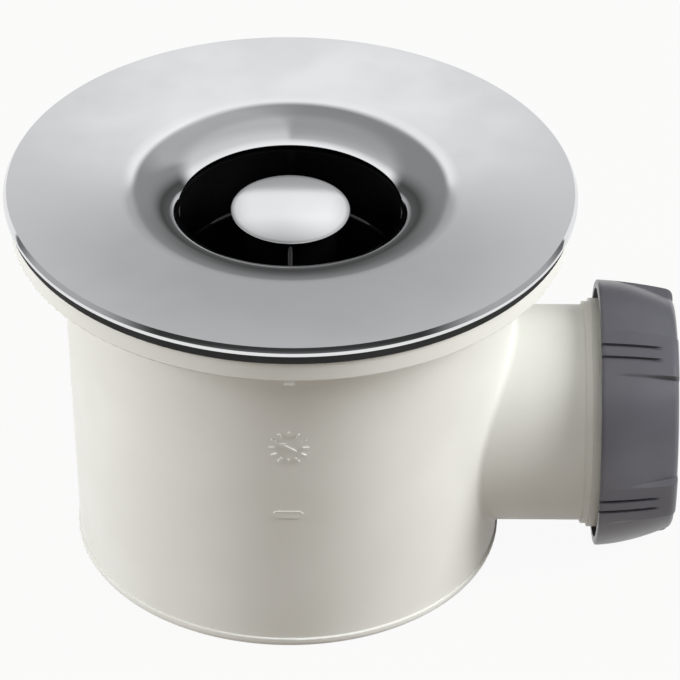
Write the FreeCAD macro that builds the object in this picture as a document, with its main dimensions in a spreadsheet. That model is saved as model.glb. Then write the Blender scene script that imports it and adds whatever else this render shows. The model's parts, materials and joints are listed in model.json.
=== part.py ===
import FreeCAD, Part
import math
import os
import Sketcher
from FreeCAD import Placement, Rotation, Vector

# A shower drain with a removable trap, for a 90 mm tray hole and a 40 mm waste pipe, in mm.
# The origin is the middle of the base, +Z goes up the drain and +X goes out along the outlet.

SIZES = [
    ("cover_radius", "57.5", "chrome cover, outside"),
    ("cover_skirt", "1.7", "rim of the cover below the clamp ring's top"),
    ("cover_plate", "1.3", "cover above the clamp ring's top, at the rim"),
    ("cover_wall", "1.3", "wall of the cover at the rim"),
    ("cover_round", "1.7", "rounding of the rim"),
    ("rim_round", "1.2", "rounding of the rim's lower edge"),
    ("cover_fall", "0.5", "fall of the flat from the rim to the funnel"),
    ("funnel_radius", "=throat_radius + roll_width + funnel_width", "where the flat turns into the funnel"),
    ("funnel_width", "2.7", "width of the funnel between the flat and the roll"),
    ("funnel_fall", "0.43", "fall of the funnel"),
    ("funnel_bend", "25.0", "rounding where the flat turns into the funnel"),
    ("throat_radius", "=strainer_radius - throat_lap", "hole of the cover"),
    ("throat_lap", "1.0", "cover over the strainer ring"),
    ("roll_width", "6.6", "width of the roll into the hole"),
    ("roll_fall", "3.9", "fall of the roll into the hole"),
    ("throat_edge", "0.8", "edge of the hole, top to bottom"),
    ("mouth_height", "79.55", "plane where the tray is clamped, above the base"),
    ("flange_radius", "=clamp_radius + flange_proud", "flange of the body, outside"),
    ("flange_proud", "0.3", "flange out from the clamp ring"),
    ("flange_thick", "2.65", "flange of the body"),
    ("flange_deep", "5.0", "flange of the body at its turned-down edge"),
    ("clamp_thick", "2.05", "flange of the clamp ring"),
    ("clamp_radius", "=cover_radius - cover_wall - clamp_gap", "clamp ring, outside"),
    ("clamp_gap", "0.4", "clamp ring to the cover's rim"),
    ("gasket_inner", "=gasket_outer - gasket_width", "tray gaskets, inside"),
    ("gasket_outer", "=clamp_radius - gasket_margin", "tray gaskets, outside"),
    ("gasket_margin", "1.8", "gaskets in from the clamp ring's edge"),
    ("gasket_width", "6.5", "width of the tray gaskets"),
    ("gasket_gap", "0.2", "gasket to the sides of its recess"),
    ("gasket_thick", "1.1", "each tray gasket"),
    ("gasket_proud", "0.1", "tray gasket above its recess"),
    ("wall_top_radius", "=gasket_inner - wall_margin", "body wall under the flange"),
    ("wall_base_radius", "=wall_top_radius - wall_draft", "body wall above the base bead"),
    ("wall_margin", "1.3", "gaskets out from the body wall"),
    ("wall_draft", "3.0", "body wall, narrower at its foot"),
    ("wall", "2.2", "body wall"),
    ("floor", "2.4", "body floor"),
    ("bead_height", "2.3", "base bead"),
    ("bead_step", "0.35", "base bead out from the wall"),
    ("base_round", "1.5", "rounding of the base edge"),
    ("seat_radius", "=screw_circle - boss_radius - seat_wall - seat_gap", "bore of the clamp ring"),
    ("seat_gap", "0.3", "clamp ring's collar to the screw bosses"),
    ("seat_ledge", "2.2", "width of the ledge in the clamp ring"),
    ("seat_depth", "9.1", "ledge below the clamp ring's top"),
    ("seat_wall", "1.4", "collar and ledge of the clamp ring"),
    ("screw_circle", "=wall_top_radius - boss_radius - boss_margin", "clamp screws from the axis"),
    ("boss_margin", "0.9", "screw bosses in from the outside of the wall"),
    ("screw_count", "4", "clamp screws"),
    ("screw_radius", "1.95", "clamp screw shank"),
    ("screw_head", "3.7", "clamp screw head"),
    ("screw_length", "16.0", "clamp screw"),
    ("insert_radius", "2.75", "threaded insert"),
    ("insert_length", "9.0", "threaded insert"),
    ("boss_radius", "4.2", "screw boss"),
    ("boss_length", "17.0", "screw boss"),
    ("strainer_radius", "=seat_radius - strainer_margin", "strainer ring, outside"),
    ("strainer_margin", "11.8", "strainer ring in from the clamp ring's bore"),
    ("strainer_play", "0.3", "strainer to its socket"),
    ("strainer_wall", "1.2", "strainer ring and hub wall"),
    ("strainer_height", "16.97", "strainer ring"),
    ("vane_count", "4", "strainer vanes"),
    ("vane_thick", "1.1", "strainer vane"),
    ("vane_fall", "10.5", "fall of a vane's top edge from hub to ring"),
    ("vane_curve", "25.0", "radius of a vane's top edge"),
    ("hub_radius", "=button_radius - button_over", "strainer hub"),
    ("button_over", "2.5", "button out from the hub"),
    ("stem_length", "6.0", "stem of the button"),
    ("hub_drop", "6.15", "top of the hub below the rim of the cover"),
    ("vane_drop", "0.8", "top of a vane below the top of the hub"),
    ("button_radius", "12.0", "chrome button"),
    ("button_edge", "0.7", "edge of the button"),
    ("button_dome", "0.8", "dome of the button"),
    ("stem_radius", "2.9", "stem of the button"),
    ("tube_radius", "=strainer_radius - tube_step", "dip tube, outside"),
    ("tube_step", "1.8", "dip tube in from the strainer"),
    ("tube_wall", "1.6", "dip tube"),
    ("tube_clear", "7.1", "dip tube above the cup's floor"),
    ("o_ring_radius", "1.0", "section of the dip tube's O-ring"),
    ("fin_count", "3", "fins that centre the cup on the dip tube"),
    ("cup_radius", "=seat_radius - seat_ledge - cup_play", "trap cup at its rim"),
    ("cup_play", "0.4", "trap cup to the clamp ring's ledge, which it lifts out through"),
    ("cup_draft", "1.4", "trap cup, narrower at its floor"),
    ("cup_wall", "1.8", "trap cup"),
    ("cup_foot", "2.0", "foot ring of the trap cup"),
    ("water_seal", "50.0", "depth of the water seal"),
    ("pipe_radius", "20.0", "waste pipe that fits the outlet"),
    ("pipe_play", "0.15", "play of the pipe in the socket"),
    ("outlet_height", "=nut_radius + nut_lift", "axis of the outlet above the base"),
    ("nut_lift", "0.8", "nut above the base"),
    ("outlet_wall", "2.0", "wall of the outlet stub"),
    ("port_radius", "18.6", "port from the body to the outlet"),
    ("socket_start", "=wall_top_radius - socket_inset", "stop for the pipe, from the body's axis"),
    ("socket_inset", "0.2", "stop for the pipe in from the top of the body wall"),
    ("collar_start", "=socket_start + collar_out", "collar of the stub, from the body's axis"),
    ("collar_out", "14.0", "collar of the stub out from the pipe's stop"),
    ("collar_step", "1.35", "collar and thread core out from the stub"),
    ("stub_end", "=collar_start + thread_length", "end of the stub, from the body's axis"),
    ("thread_length", "10.2", "collar and thread of the stub"),
    ("seat_cone", "3.8", "length of the cone in the stub's end"),
    ("nut_start", "=collar_start + nut_stand", "inner end of the nut, from the body's axis"),
    ("nut_stand", "2.85", "nut from the start of the collar"),
    ("nut_length", "15.85", "nut"),
    ("nut_chamfer", "1.4", "chamfer of the nut's outer end"),
    ("nut_radius", "=pipe_radius + pipe_play + outlet_wall + collar_step + nut_play + nut_wall",
     "nut at its inner end"),
    ("nut_wall", "2.8", "nut at its inner end, outside its bore"),
    ("nut_taper", "0.125", "fall of the nut's radius along its length"),
    ("nut_play", "1.0", "nut bore out from the thread core"),
    ("land_count", "5", "lands on the nut's grip"),
    ("land_share", "=1 / land_count", "part of a turn that a land and a scoop take"),
    ("land_turn", "99.8", "angle of the first land from the top, in degrees"),
    ("scoop_width", "52.0", "angle that a scoop takes, in degrees"),
    ("scoop_depth", "1.25", "depth of a scoop at the nut's outer end"),
    ("groove_spread", "3.0", "angle of a grip groove from the land's middle, in degrees"),
    ("groove_width", "1.5", "angle that a grip groove takes, in degrees"),
    ("groove_depth", "0.55", "depth of a grip groove"),
    ("ring_thick", "2.0", "thrust ring"),
    ("seal_head", "2.9", "head of the cone seal"),
]

doc = FreeCAD.newDocument("shower_drain")
sheet = doc.addObject("Spreadsheet::Sheet", "Sizes")
for row, (alias, number, meaning) in enumerate(SIZES, start=1):
    sheet.set("A%d" % row, meaning)
    sheet.setAlias("B%d" % row, alias)
for row, (alias, number, meaning) in enumerate(SIZES, start=1):
    sheet.set("B%d" % row, number)
doc.recompute()


class Size:
    """A length with the expression that gives it, to draw a sketch at and then to bind it to."""

    def __init__(self, value, text):
        self.value = value
        self.text = text

    def join(self, sign, other, value):
        return Size(value, "(%s %s %s)" % (self.text, sign, other.text))

    def __add__(self, other):
        other = as_size(other)
        return self.join("+", other, self.value + other.value)

    def __sub__(self, other):
        other = as_size(other)
        return self.join("-", other, self.value - other.value)

    def __mul__(self, other):
        other = as_size(other)
        return self.join("*", other, self.value * other.value)

    def __neg__(self):
        return Size(-self.value, "(0 - %s)" % self.text)


def as_size(thing):
    if isinstance(thing, Size):
        return thing
    return Size(float(thing), repr(float(thing)))


def bind(thing, path, size):
    if "Sizes." in size.text:
        thing.setExpression(path, size.text)


class Table:
    def __getattr__(self, alias):
        return Size(float(sheet.get(alias)), "Sizes." + alias)


s = Table()
AXIS = as_size(0)


def new_body(label):
    body = doc.addObject("PartDesign::Body", label)
    body.Label = label
    return body


def origin_of(body, role):
    for feature in body.Origin.OriginFeatures:
        if feature.Role == role:
            return feature
    raise ValueError(role)


def new_sketch(body, name, plane="XZ_Plane", shift=None, turn=None):
    """A sketch on an origin plane, moved by shift in the plane's frame and turned about its own x."""
    sketch = body.newObject("Sketcher::SketchObject", name)
    sketch.AttachmentSupport = [(origin_of(body, plane), "")]
    sketch.MapMode = "FlatFace"
    move = [as_size(part) for part in (shift or (0, 0, 0))]
    angle = as_size(turn or 0)
    base = Vector(move[0].value, move[1].value, move[2].value)
    sketch.AttachmentOffset = Placement(base, Rotation(Vector(1, 0, 0), angle.value))
    for name, part in zip("xyz", move):
        bind(sketch, "AttachmentOffset.Base." + name, part)
    bind(sketch, "AttachmentOffset.Rotation.Angle", angle)
    return sketch


def pin(sketch, geometry, end, x, y):
    """Holds a point of a sketch at x and y from the origin."""
    for kind, size, axis in (("DistanceX", x, -2), ("DistanceY", y, -1)):
        if size is AXIS:
            sketch.addConstraint(Sketcher.Constraint("PointOnObject", geometry, end, axis))
        else:
            index = sketch.addConstraint(Sketcher.Constraint(kind, -1, 1, geometry, end, size.value))
            bind(sketch, "Constraints[%d]" % index, size)


def corner(x, y, rounding=None, arc=None):
    """A corner of an outline: rounding blends its two lines, arc curves the way to the next corner.

    The arc is a radius, plus to bulge left of the way on, the word tangent to leave the last line
    smoothly, or the word dome to meet the axis squarely.
    """
    x = x if x is AXIS else as_size(x)
    y = y if y is AXIS else as_size(y)
    return x, y, None if rounding is None else as_size(rounding), arc


def arc_between(a, b, radius):
    """An arc from a to b, bulging left of that way for a plus radius, with its start end and its far end."""
    chord = b - a
    left = Vector(-chord.y, chord.x, 0).normalize()
    side = 1 if radius > 0 else -1
    depth = math.sqrt(radius * radius - chord.Length * chord.Length / 4)
    centre = (a + b) * 0.5 - left * (side * depth)
    first = math.atan2(a.y - centre.y, a.x - centre.x)
    last = math.atan2(b.y - centre.y, b.x - centre.x)
    circle = Part.Circle(centre, Vector(0, 0, 1), abs(radius))
    if side > 0:
        return Part.ArcOfCircle(circle, last, first if first > last else first + 2 * math.pi), 2, 1
    return Part.ArcOfCircle(circle, first, last if last > first else last + 2 * math.pi), 1, 2


def outline(sketch, corners):
    """Draws a closed outline through corners and holds each of them by two distances."""
    count = len(corners)
    points = [Vector(c[0].value, c[1].value, 0) for c in corners]
    leave = []
    reach = []
    for i in range(count):
        here = points[i]
        if corners[i][2] is None:
            leave.append(here)
            reach.append(here)
            continue
        back = (points[i - 1] - here).normalize()
        on = (points[(i + 1) % count] - here).normalize()
        length = corners[i][2].value / math.tan(back.getAngle(on) / 2)
        reach.append(here + back * length)
        leave.append(here + on * length)
    sides = []
    for i in range(count):
        start = leave[i]
        end = reach[(i + 1) % count]
        curve = corners[i][3]
        if curve is None:
            sides.append((sketch.addGeometry(Part.LineSegment(start, end), False), 1, 2))
            continue
        if curve == "tangent":
            way = (start - leave[i - 1]).normalize()
            chord = end - start
            turn = way.x * chord.y - way.y * chord.x
            radius = -chord.Length * chord.Length / (2 * turn)
        elif curve == "dome":
            rise = end.y - start.y
            radius = -(start.x * start.x + rise * rise) / (2 * rise)
        else:
            radius = curve.value
        arc, first, last = arc_between(start, end, radius)
        sides.append((sketch.addGeometry(arc, False), first, last))
        if curve == "dome":
            sketch.addConstraint(Sketcher.Constraint("PointOnObject", sides[i][0], 3, -2))
        elif curve != "tangent":
            size = curve if curve.value > 0 else -curve
            index = sketch.addConstraint(Sketcher.Constraint("Radius", sides[i][0], abs(radius)))
            bind(sketch, "Constraints[%d]" % index, size)
    for i in range(count):
        x, y, rounding, curve = corners[i]
        last, last_start, last_end = sides[i - 1]
        side, side_start, side_end = sides[i]
        if rounding is None:
            kind = "Tangent" if curve == "tangent" else "Coincident"
            sketch.addConstraint(Sketcher.Constraint(kind, last, last_end, side, side_start))
            pin(sketch, side, side_start, x, y)
            continue
        back = points[i] - points[i - 1]
        on = points[(i + 1) % count] - points[i]
        bulge = -rounding.value if back.x * on.y - back.y * on.x > 0 else rounding.value
        blend, first, second = arc_between(reach[i], leave[i], bulge)
        arc = sketch.addGeometry(blend, False)
        point = sketch.addGeometry(Part.Point(points[i]), True)
        sketch.addConstraint(Sketcher.Constraint("Tangent", last, last_end, arc, first))
        sketch.addConstraint(Sketcher.Constraint("Tangent", arc, second, side, side_start))
        index = sketch.addConstraint(Sketcher.Constraint("Radius", arc, rounding.value))
        bind(sketch, "Constraints[%d]" % index, rounding)
        sketch.addConstraint(Sketcher.Constraint("PointOnObject", point, 1, last))
        sketch.addConstraint(Sketcher.Constraint("PointOnObject", point, 1, side))
        pin(sketch, point, 1, x, y)
    return sketch


def disc(sketch, x, y, radius):
    circle = Part.Circle(Vector(x.value, y.value, 0), Vector(0, 0, 1), radius.value)
    index = sketch.addGeometry(circle, False)
    pin(sketch, index, 3, x, y)
    held = sketch.addConstraint(Sketcher.Constraint("Radius", index, radius.value))
    bind(sketch, "Constraints[%d]" % held, radius)
    return sketch


def turned(body, sketch, kind, name, axis="V_Axis", angle=None):
    """A Revolution or Groove of a sketch about one of its axes, all round or for an angle about its plane."""
    feature = body.newObject("PartDesign::" + kind, name)
    feature.Profile = sketch
    feature.ReferenceAxis = (sketch, [axis])
    feature.Angle = 360.0
    if angle is not None:
        feature.Midplane = True
        feature.Angle = angle.value
        bind(feature, "Angle", angle)
    sketch.Visibility = False
    return feature


def raised(body, sketch, kind, name, length, both_ways=False, back=False):
    """A Pad or Pocket of a sketch."""
    feature = body.newObject("PartDesign::" + kind, name)
    feature.Profile = sketch
    feature.Length = length.value
    bind(feature, "Length", length)
    if both_ways:
        feature.SideType = "Symmetric"
    feature.Reversed = back
    sketch.Visibility = False
    return feature


def repeated(body, features, name, axis, count):
    """Repeats features all round an axis."""
    pattern = body.newObject("PartDesign::PolarPattern", name)
    pattern.Originals = features
    pattern.Axis = axis
    pattern.Angle = 360.0
    pattern.Occurrences = int(count.value)
    bind(pattern, "Occurrences", count)
    body.Tip = pattern
    return pattern


# Heights that several pieces share.
flange_top = s.mouth_height - s.gasket_proud
flange_low = flange_top - s.flange_deep
web_low = flange_top - s.flange_thick
clamp_low = s.mouth_height + s.gasket_proud
clamp_top = clamp_low + s.clamp_thick
cover_top = clamp_top + s.cover_plate
cover_low = clamp_top - s.cover_skirt
roll_top = cover_top - s.cover_fall - s.funnel_fall
throat_top = roll_top - s.roll_fall
throat_low = throat_top - s.throat_edge
ledge_top = clamp_top - s.seat_depth
ledge_radius = s.seat_radius - s.seat_ledge
tube_flange_low = ledge_top + s.o_ring_radius * 2
tube_flange_top = tube_flange_low + 1.8
strainer_top = throat_low - 0.4
strainer_low = strainer_top - s.strainer_height
hub_top = cover_top - s.hub_drop
cup_low = s.floor + s.cup_foot
cup_floor = cup_low + s.cup_wall
tube_low = cup_floor + s.tube_clear
cup_rim = tube_low + s.water_seal
boss_top = flange_top - 0.3

# Radii and stations of the outlet.
socket_radius = s.pipe_radius + s.pipe_play
stub_radius = socket_radius + s.outlet_wall
core_radius = stub_radius + s.collar_step
nut_bore = core_radius + s.nut_play
nut_end = s.nut_start + s.nut_length
seal_start = s.stub_end + 0.1
ring_start = seal_start + s.seal_head
ring_end = ring_start + s.ring_thick
nut_shoulder = ring_end + 0.1
chamber = core_radius - 0.6
stub_root = s.port_radius * 0.75
OUTLET = (0, s.outlet_height, 0)

nodes = []

# Chrome cover: a nearly flat rim, a shallow funnel and a wide roll that turns down into the hole.
cover = new_body("cover_plate")
nodes.append(cover)
sketch = new_sketch(cover, "cover_outline")
outline(sketch, [
    corner(s.cover_radius, cover_low, s.rim_round),
    corner(s.cover_radius, cover_top, s.cover_round),
    corner(s.funnel_radius, cover_top - s.cover_fall, s.funnel_bend),
    corner(s.throat_radius + s.roll_width, roll_top, arc="tangent"),
    corner(s.throat_radius, throat_top),
    corner(s.throat_radius + 1.0, throat_low),
    corner(s.throat_radius + s.roll_width * 0.54, throat_low + s.roll_fall * 0.7, 6.0),
    corner(s.seat_radius - 0.7, clamp_top),
    corner(s.cover_radius - s.cover_wall, clamp_top),
    corner(s.cover_radius - s.cover_wall, cover_low),
])
turned(cover, sketch, "Revolution", "cover_turned")

# Chrome button on the strainer, with a stem that snaps into the hub.
button = new_body("button_cap")
nodes.append(button)
sketch = new_sketch(button, "button_outline")
outline(sketch, [
    corner(AXIS, hub_top - s.stem_length),
    corner(s.stem_radius, hub_top - s.stem_length, 0.6),
    corner(s.stem_radius, hub_top),
    corner(s.button_radius, hub_top),
    corner(s.button_radius, hub_top + s.button_edge - 0.25),
    corner(s.button_radius - 0.35, hub_top + s.button_edge, arc="dome"),
    corner(AXIS, hub_top + s.button_edge + s.button_dome),
])
turned(button, sketch, "Revolution", "button_turned")

# Strainer: a ring, a hollow hub and upright vanes that catch hair.
strainer = new_body("strainer")
nodes.append(strainer)
sketch = new_sketch(strainer, "ring_outline")
outline(sketch, [
    corner(s.strainer_radius, strainer_low),
    corner(s.strainer_radius, strainer_top, 0.4),
    corner(s.strainer_radius - s.strainer_wall, strainer_top),
    corner(s.strainer_radius - s.strainer_wall, strainer_low),
])
turned(strainer, sketch, "Revolution", "ring_turned")
vane_inside = s.hub_radius - 0.8
vane_outside = s.strainer_radius - s.strainer_wall * 0.5
sketch = new_sketch(strainer, "vane_outline")
outline(sketch, [
    corner(vane_inside, strainer_low + 1.0),
    corner(vane_outside, strainer_low + 1.0),
    corner(vane_outside, hub_top - s.vane_drop - s.vane_fall, arc=-s.vane_curve),
    corner(s.button_radius - 0.5, hub_top - s.vane_drop),
    corner(vane_inside, hub_top - s.vane_drop),
])
vane = raised(strainer, sketch, "Pad", "vane", s.vane_thick, both_ways=True)
repeated(strainer, [vane], "vanes", (origin_of(strainer, "Z_Axis"), [""]), s.vane_count)
sketch = new_sketch(strainer, "hub_outline")
outline(sketch, [
    corner(s.stem_radius + 0.1, hub_top),
    corner(s.hub_radius, hub_top),
    corner(s.hub_radius, strainer_low + 1.0),
    corner(s.hub_radius - s.strainer_wall, strainer_low + 1.0),
    corner(s.hub_radius - s.strainer_wall, hub_top - 3.0),
    corner(s.stem_radius + 0.1, hub_top - 3.0),
])
turned(strainer, sketch, "Revolution", "hub_turned")

# Clamp ring: the upper half of the tray clamp, with a collar and a ledge for the dip tube.
clamp = new_body("clamp_ring")
nodes.append(clamp)
sketch = new_sketch(clamp, "clamp_outline")
outline(sketch, [
    corner(s.seat_radius, clamp_top),
    corner(s.clamp_radius, clamp_top),
    corner(s.clamp_radius, clamp_low, 0.3),
    corner(s.gasket_outer + s.gasket_gap, clamp_low),
    corner(s.gasket_outer + s.gasket_gap, s.mouth_height + s.gasket_thick),
    corner(s.gasket_inner - s.gasket_gap, s.mouth_height + s.gasket_thick),
    corner(s.gasket_inner - s.gasket_gap, clamp_low),
    corner(s.seat_radius + s.seat_wall, clamp_low),
    corner(s.seat_radius + s.seat_wall, ledge_top - s.seat_wall),
    corner(ledge_radius, ledge_top - s.seat_wall),
    corner(ledge_radius, ledge_top),
    corner(s.seat_radius, ledge_top),
])
turned(clamp, sketch, "Revolution", "clamp_turned")
sketch = new_sketch(clamp, "screw_hole_outline", shift=(s.screw_circle, 0, 0))
outline(sketch, [
    corner(AXIS, clamp_top + 1.0),
    corner(s.screw_head + 0.15, clamp_top + 1.0),
    corner(s.screw_head + 0.15, clamp_top - 0.2),
    corner(s.screw_radius + 0.3, clamp_top - 0.2 - s.screw_head + s.screw_radius + 0.15),
    corner(s.screw_radius + 0.3, clamp_low - 1.0),
    corner(AXIS, clamp_low - 1.0),
])
hole = turned(clamp, sketch, "Groove", "screw_hole")
repeated(clamp, [hole], "screw_holes", (origin_of(clamp, "Z_Axis"), [""]), s.screw_count)

# Clamp screws, countersunk, with a plain round recess for the driver.
screws = new_body("clamp_screws")
nodes.append(screws)
head_top = clamp_top - 0.2
sketch = new_sketch(screws, "screw_outline", shift=(s.screw_circle, 0, 0))
outline(sketch, [
    corner(AXIS, head_top - s.screw_length),
    corner(s.screw_radius - 0.8, head_top - s.screw_length),
    corner(s.screw_radius, head_top - s.screw_length + 0.8),
    corner(s.screw_radius, head_top - s.screw_head + s.screw_radius),
    corner(s.screw_head, head_top),
    corner(s.screw_radius - 0.7, head_top),
    corner(s.screw_radius - 0.9, head_top - 1.9),
    corner(AXIS, head_top - 1.9),
])
screw = turned(screws, sketch, "Revolution", "screw_turned")
repeated(screws, [screw], "screws", (origin_of(screws, "Z_Axis"), [""]), s.screw_count)

# Threaded brass inserts, pressed into the bosses of the body.
inserts = new_body("screw_inserts")
nodes.append(inserts)
sketch = new_sketch(inserts, "insert_outline", shift=(s.screw_circle, 0, 0))
outline(sketch, [
    corner(s.screw_radius + 0.1, boss_top - s.insert_length),
    corner(s.insert_radius, boss_top - s.insert_length),
    corner(s.insert_radius, boss_top),
    corner(s.screw_radius + 0.1, boss_top),
])
insert = turned(inserts, sketch, "Revolution", "insert_turned")
repeated(inserts, [insert], "inserts", (origin_of(inserts, "Z_Axis"), [""]), s.screw_count)

# Tray gaskets, one in the clamp ring and one in the body's flange.
for label, low, high in (
    ("upper_gasket", s.mouth_height, s.mouth_height + s.gasket_thick),
    ("lower_gasket", s.mouth_height - s.gasket_thick, s.mouth_height),
):
    gasket = new_body(label)
    nodes.append(gasket)
    sketch = new_sketch(gasket, label + "_outline")
    outline(sketch, [
        corner(s.gasket_inner, low),
        corner(s.gasket_outer, low),
        corner(s.gasket_outer, high),
        corner(s.gasket_inner, high),
    ])
    turned(gasket, sketch, "Revolution", label + "_turned")

# Dip tube: a flange on the clamp ring's ledge, a socket for the strainer and a tube into the cup.
tube = new_body("dip_tube")
nodes.append(tube)
tube_socket = s.strainer_radius + s.strainer_play
tube_bore = s.tube_radius - s.tube_wall
sketch = new_sketch(tube, "tube_outline")
outline(sketch, [
    corner(tube_socket, tube_flange_top),
    corner(s.seat_radius - 0.3, tube_flange_top, 0.5),
    corner(s.seat_radius - 0.3, tube_flange_low),
    corner(tube_socket + 1.5, tube_flange_low, 1.2),
    corner(tube_socket + 1.5, strainer_low - 0.6),
    corner(s.tube_radius, strainer_low - 4.0),
    corner(s.tube_radius, tube_low),
    corner(tube_bore, tube_low),
    corner(tube_bore, strainer_low - 1.5),
    corner(tube_bore + 1.2, strainer_low),
    corner(tube_socket, strainer_low),
])
turned(tube, sketch, "Revolution", "tube_turned")
cup_floor_radius = s.cup_radius - s.cup_draft
fin_low = cup_floor + 1.0
fin_high = cup_floor + s.water_seal * 0.6
sketch = new_sketch(tube, "fin_outline")
outline(sketch, [
    corner(s.tube_radius - s.tube_wall * 0.5, tube_low + 2.0),
    corner(s.tube_radius + 1.0, fin_low),
    corner(cup_floor_radius - s.cup_wall - 2.2, fin_low),
    corner(cup_floor_radius - s.cup_wall - 0.4, fin_low + 2.5),
    corner(cup_floor_radius - s.cup_wall - 0.4, fin_high),
    corner(s.tube_radius - s.tube_wall * 0.5, fin_high + 6.0),
])
fin = raised(tube, sketch, "Pad", "fin", as_size(1.4), both_ways=True)
repeated(tube, [fin], "fins", (origin_of(tube, "Z_Axis"), [""]), s.fin_count)

# O-ring between the dip tube's flange and the clamp ring's ledge.
o_ring = new_body("tube_o_ring")
nodes.append(o_ring)
sketch = new_sketch(o_ring, "o_ring_outline")
disc(sketch, s.seat_radius - s.seat_ledge * 0.5, ledge_top + s.o_ring_radius, s.o_ring_radius)
turned(o_ring, sketch, "Revolution", "o_ring_turned")

# Trap cup: holds the water seal round the dip tube and spills over its rim into the body.
cup = new_body("trap_cup")
nodes.append(cup)
sketch = new_sketch(cup, "cup_outline")
outline(sketch, [
    corner(AXIS, cup_low),
    corner(cup_floor_radius - 12.0, cup_low),
    corner(cup_floor_radius - 12.0, s.floor),
    corner(cup_floor_radius - 10.2, s.floor),
    corner(cup_floor_radius - 10.2, cup_low),
    corner(cup_floor_radius, cup_low, 2.4),
    corner(s.cup_radius, cup_rim, 0.5),
    corner(s.cup_radius - s.cup_wall, cup_rim),
    corner(cup_floor_radius - s.cup_wall, cup_floor, 1.2),
    corner(AXIS, cup_floor),
])
turned(cup, sketch, "Revolution", "cup_turned")

# Body: one moulding with the bowl, the flange, the outlet stub and the screw bosses.
body = new_body("trap_body")
nodes.append(body)
base_radius = s.wall_base_radius + s.bead_step
sketch = new_sketch(body, "bowl_outline")
outline(sketch, [
    corner(AXIS, AXIS),
    corner(base_radius, AXIS, s.base_round),
    corner(base_radius, s.bead_height, 0.3),
    corner(s.wall_base_radius, s.bead_height),
    corner(s.wall_top_radius, web_low, 0.8),
    corner(s.flange_radius - s.wall, web_low, 0.8),
    corner(s.flange_radius - s.wall, flange_low),
    corner(s.flange_radius, flange_low, 0.4),
    corner(s.flange_radius, flange_top, 0.3),
    corner(AXIS, flange_top),
])
turned(body, sketch, "Revolution", "bowl_turned")
sketch = new_sketch(body, "stub_outline", shift=OUTLET)
outline(sketch, [
    corner(s.wall_base_radius - stub_root, AXIS),
    corner(s.wall_base_radius - stub_root, stub_radius),
    corner(s.collar_start, stub_radius),
    corner(s.collar_start, stub_radius + s.collar_step * 0.5),
    corner(s.collar_start + 1.3, stub_radius + s.collar_step * 0.5),
    corner(s.collar_start + 1.3, core_radius),
    corner(s.stub_end - 0.8, core_radius),
    corner(s.stub_end, core_radius - 0.5),
    corner(s.stub_end, AXIS),
])
stub = turned(body, sketch, "Revolution", "stub_turned", axis="H_Axis")
doc.recompute()
joint_edges = []
for number, edge in enumerate(stub.Shape.Edges, start=1):
    box = edge.BoundBox
    near_wall = s.wall_base_radius.value - 12 < box.XMin and box.XMax < s.wall_top_radius.value
    around_stub = abs(box.Center.z - s.outlet_height.value) < 1 and box.ZLength > stub_radius.value * 1.5
    if near_wall and around_stub:
        joint_edges.append("Edge%d" % number)
blend = body.newObject("PartDesign::Fillet", "stub_blend")
blend.Base = (stub, joint_edges)
blend.Radius = 1.5
sketch = new_sketch(body, "cavity_outline")
outline(sketch, [
    corner(AXIS, s.floor),
    corner(s.wall_base_radius - s.wall, s.floor, 2.0),
    corner(s.wall_top_radius - s.wall, web_low),
    corner(s.wall_top_radius - s.wall, flange_top + 1.0),
    corner(AXIS, flange_top + 1.0),
])
turned(body, sketch, "Groove", "cavity")
sketch = new_sketch(body, "bore_outline", shift=OUTLET)
outline(sketch, [
    corner(s.wall_base_radius - stub_root, AXIS),
    corner(s.wall_base_radius - stub_root, s.port_radius),
    corner(s.socket_start, s.port_radius),
    corner(s.socket_start, socket_radius),
    corner(s.stub_end - s.seat_cone, socket_radius),
    corner(s.stub_end, core_radius - 1.0),
    corner(s.stub_end + 1.0, core_radius - 1.0),
    corner(s.stub_end + 1.0, AXIS),
])
turned(body, sketch, "Groove", "bore", axis="H_Axis")
sketch = new_sketch(body, "recess_outline")
outline(sketch, [
    corner(s.gasket_inner - s.gasket_gap, s.mouth_height - s.gasket_thick),
    corner(s.gasket_outer + s.gasket_gap, s.mouth_height - s.gasket_thick),
    corner(s.gasket_outer + s.gasket_gap, flange_top + 1.0),
    corner(s.gasket_inner - s.gasket_gap, flange_top + 1.0),
])
turned(body, sketch, "Groove", "gasket_recess")
sketch = new_sketch(body, "boss_outline", plane="XY_Plane", shift=(0, 0, boss_top - s.boss_length))
disc(sketch, s.screw_circle, AXIS, s.boss_radius)
boss = raised(body, sketch, "Pad", "boss", s.boss_length)
sketch = new_sketch(body, "boss_hole_outline", shift=(s.screw_circle, 0, 0))
outline(sketch, [
    corner(AXIS, boss_top + 0.5),
    corner(s.insert_radius, boss_top + 0.5),
    corner(s.insert_radius, boss_top - s.insert_length),
    corner(s.screw_radius + 0.1, boss_top - s.insert_length),
    corner(s.screw_radius + 0.1, boss_top - s.boss_length + 1.6),
    corner(AXIS, boss_top - s.boss_length + 1.6),
])
boss_hole = turned(body, sketch, "Groove", "boss_hole")
repeated(body, [boss, boss_hole], "bosses", (origin_of(body, "Z_Axis"), [""]), s.screw_count)
sketch = new_sketch(body, "tab_outline", plane="XY_Plane", shift=(0, 0, flange_low - 1.0))
outline(sketch, [
    corner(-1.1, -(s.flange_radius - 1.6)),
    corner(-1.1, -(s.flange_radius - 0.3)),
    corner(1.1, -(s.flange_radius - 0.3)),
    corner(1.1, -(s.flange_radius - 1.6)),
])
raised(body, sketch, "Pad", "tab", as_size(1.6))

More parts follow.
